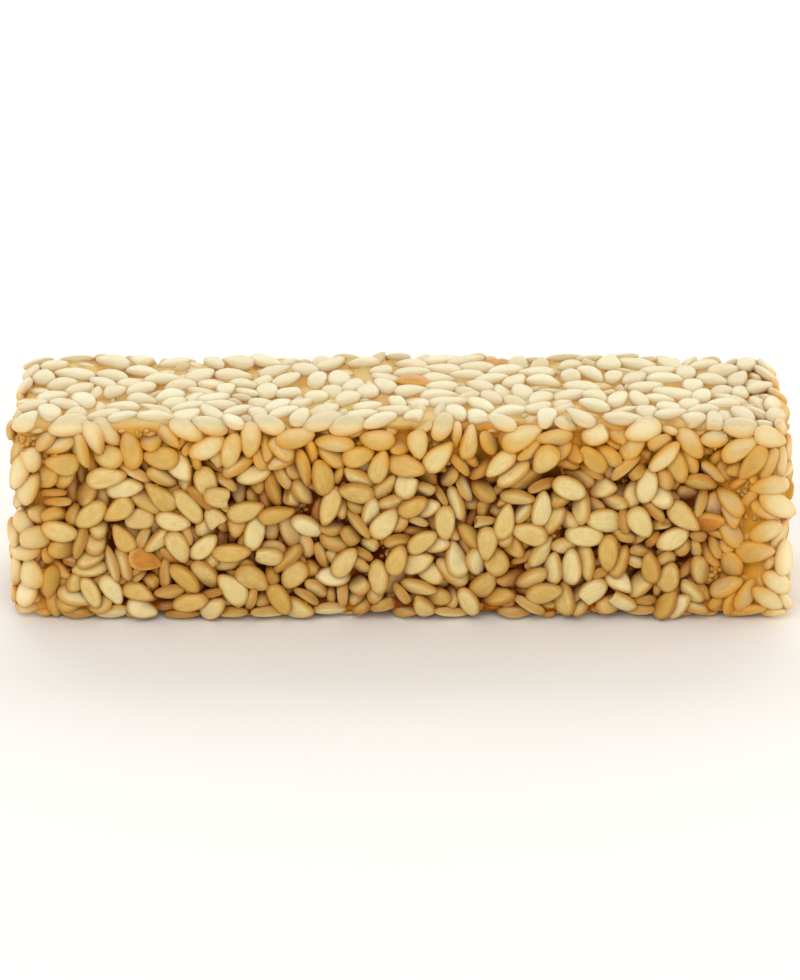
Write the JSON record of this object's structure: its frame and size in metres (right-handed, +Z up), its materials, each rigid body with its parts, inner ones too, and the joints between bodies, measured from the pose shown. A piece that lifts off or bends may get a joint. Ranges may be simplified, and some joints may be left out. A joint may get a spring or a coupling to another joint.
{
  "type": "sesame brittle slab",
  "caption": "Small rectangular bar of pressed sesame seeds in set honey syrup, a sweet snack that lies flat on its underside.",
  "frame": {"origin": "under the middle of the bar, on the surface that it rests on", "axes": "+X along the bar's length, +Y across it towards the back, +Z up through its thickness"},
  "size_m": [0.0694, 0.018, 0.0195],
  "materials": {
    "sesame_seed": "hulled sesame seeds, cream to golden, with a thin satin film of syrup",
    "set_syrup": "set honey caramel syrup, amber where thin and brown where deep, glossy"
  },
  "bodies": {
    "root": {"slab": "sesame_seed"}
  },
  "joints": []
}
